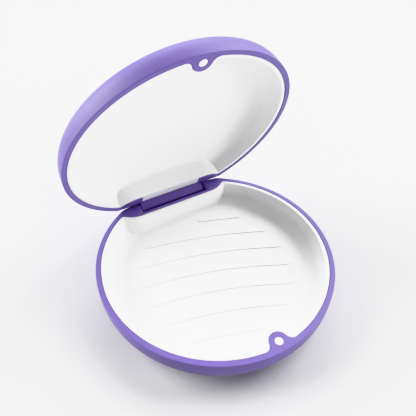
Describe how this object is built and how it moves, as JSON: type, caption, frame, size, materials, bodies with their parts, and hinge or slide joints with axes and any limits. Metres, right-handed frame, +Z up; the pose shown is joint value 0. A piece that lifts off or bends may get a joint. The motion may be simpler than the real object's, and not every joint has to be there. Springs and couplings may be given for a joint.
{
  "type": "retainer case",
  "caption": "Round slim case for orthodontic retainers or aligners: soft-touch shells, white liners with drain ribs, a lid on a rear pin hinge and a magnetic front tab.",
  "frame": {"origin": "centre of the flat that the base stands on", "axes": "+Z up, +Y towards the hinge at the back, -Y towards the closure tab, +X along the hinge axis"},
  "size_m": [0.0836, 0.0881, 0.0853],
  "materials": {
    "soft_touch_shell": "matt soft-touch coating, violet",
    "white_liner": "satin white moulding",
    "white_cap": "smooth white disc",
    "magnet": "nickel plated",
    "pin_steel": "drawn steel"
  },
  "bodies": {
    "base": {"base_shell": "soft_touch_shell", "base_liner": "white_liner", "base_magnet": "magnet", "base_magnet_cap": "white_cap", "hinge_pin": "pin_steel"},
    "lid": {"lid_shell": "soft_touch_shell", "lid_liner": "white_liner", "lid_magnet": "magnet", "lid_magnet_cap": "white_cap"}
  },
  "joints": [
    {"name": "lid_hinge", "type": "hinge", "parent": "base", "child": "lid", "pos_m": [0, 0.0354, 0.0117], "axis": [-1, 0, 0], "range_deg": [-68.1, 1.9]}
  ]
}
